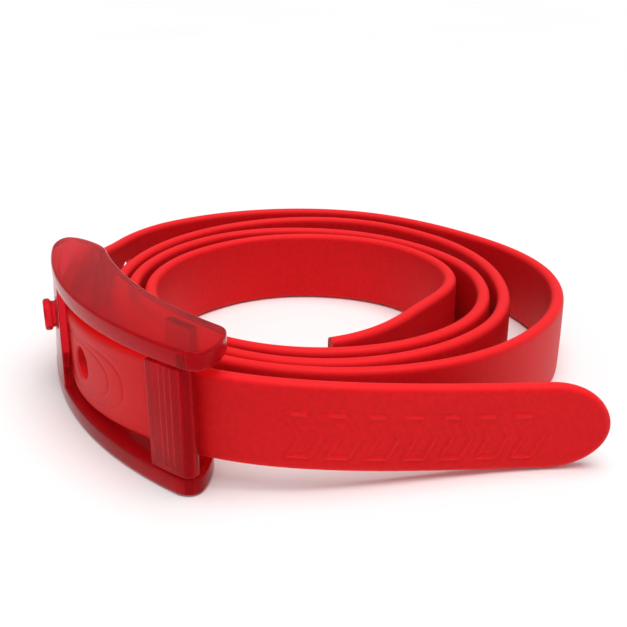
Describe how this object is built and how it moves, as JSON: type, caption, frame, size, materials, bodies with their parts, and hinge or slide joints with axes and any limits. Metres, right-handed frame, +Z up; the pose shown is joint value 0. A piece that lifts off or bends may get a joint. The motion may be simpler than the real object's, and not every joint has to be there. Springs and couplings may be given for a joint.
{
  "type": "coiled stretch belt with clamp buckle",
  "caption": "Moulded elastomer strap coiled on edge, threaded through a curved see-through buckle with a fixed stud bar and a hinged clamp bar.",
  "frame": {"origin": "middle of the footprint, on the table the coil stands on", "axes": "+Z up, the free end runs towards +X along the -Y side, the buckle is at the -X -Y corner"},
  "size_m": [0.1337, 0.1409, 0.0335],
  "materials": {
    "red_elastomer": "soft matte moulded elastomer",
    "crimson_clear": "see-through tinted plastic, polished",
    "crimson_pin": "plain moulded plastic"
  },
  "bodies": {
    "strap": {"strap": "red_elastomer"},
    "buckle": {"buckle_frame": "crimson_clear", "hinge_pin": "crimson_pin"},
    "clamp": {"clamp_bar": "crimson_clear"}
  },
  "joints": [
    {"name": "buckle_slide", "type": "hinge", "parent": "strap", "child": "buckle", "pos_m": [0.00739, -0.00245, 0], "axis": [0, 0, 1], "range_deg": [-2.5, 2.5]},
    {"name": "clamp_hinge", "type": "hinge", "parent": "buckle", "child": "clamp", "pos_m": [-0.02424, -0.06683, 0], "axis": [0, 0, 1], "range_deg": [0, 100]}
  ]
}
